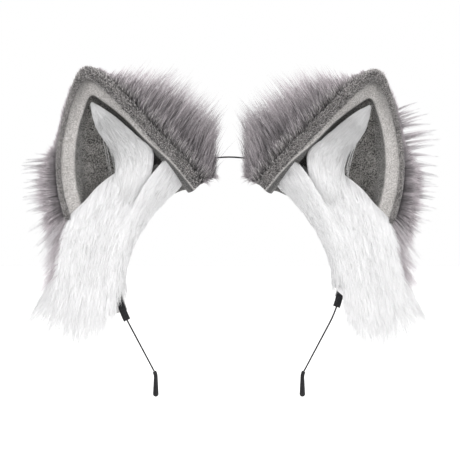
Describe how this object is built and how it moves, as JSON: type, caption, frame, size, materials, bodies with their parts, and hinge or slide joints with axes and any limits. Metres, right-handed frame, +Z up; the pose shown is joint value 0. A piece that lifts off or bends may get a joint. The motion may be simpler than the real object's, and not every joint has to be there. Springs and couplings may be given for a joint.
{
  "type": "animal ears headband",
  "caption": "Thin sprung wire headband with furred wolf ears that slide along the wire, each with a rolled rim, plush lining, white inner tuft and long white temple fur.",
  "frame": {"origin": "centre of the wire arch, in the plane of the wire", "axes": "+X to the viewer's right across the headband, +Y backwards, away from the ears' open side, +Z up"},
  "size_m": [0.2379, 0.0613, 0.2157],
  "materials": {
    "spring_wire": "black oxide spring wire",
    "cap_rubber": "smooth dipped rubber",
    "ribbon": "woven grosgrain ribbon",
    "felt": "pressed felt",
    "thread": "twisted sewing thread",
    "foam": "fine open foam",
    "rim_wire": "soft drawn wire",
    "rim_plush": "short dark plush",
    "lining_plush": "short plush with a sprayed light border",
    "grey_fur": "long grey pile with light tips",
    "white_fur": "long white pile",
    "tuft_fur": "fine off-white pile"
  },
  "bodies": {
    "band": {"headband_wire": "spring_wire", "left_end_cap": "cap_rubber", "right_end_cap": "cap_rubber"},
    "left_ear": {"left_wire_sleeve": "ribbon", "left_felt_strip": "felt", "left_felt_stitches": "thread", "left_ear_core": "foam", "left_rim_wire": "rim_wire", "left_rim_roll": "rim_plush", "left_ear_lining": "lining_plush", "left_back_fur": "grey_fur", "left_inner_tuft": "tuft_fur", "left_temple_fur": "white_fur"},
    "right_ear": {"right_wire_sleeve": "ribbon", "right_felt_strip": "felt", "right_felt_stitches": "thread", "right_ear_core": "foam", "right_rim_wire": "rim_wire", "right_rim_roll": "rim_plush", "right_ear_lining": "lining_plush", "right_back_fur": "grey_fur", "right_inner_tuft": "tuft_fur", "right_temple_fur": "white_fur"}
  },
  "joints": [
    {"name": "left_ear_slide", "type": "hinge", "parent": "band", "child": "left_ear", "pos_m": [0, 0, 0], "axis": [0, 1, 0], "range_deg": [-2, 3.5]},
    {"name": "right_ear_slide", "type": "hinge", "parent": "band", "child": "right_ear", "pos_m": [0, 0, 0], "axis": [0, -1, 0], "range_deg": [-9, 3.5]}
  ]
}
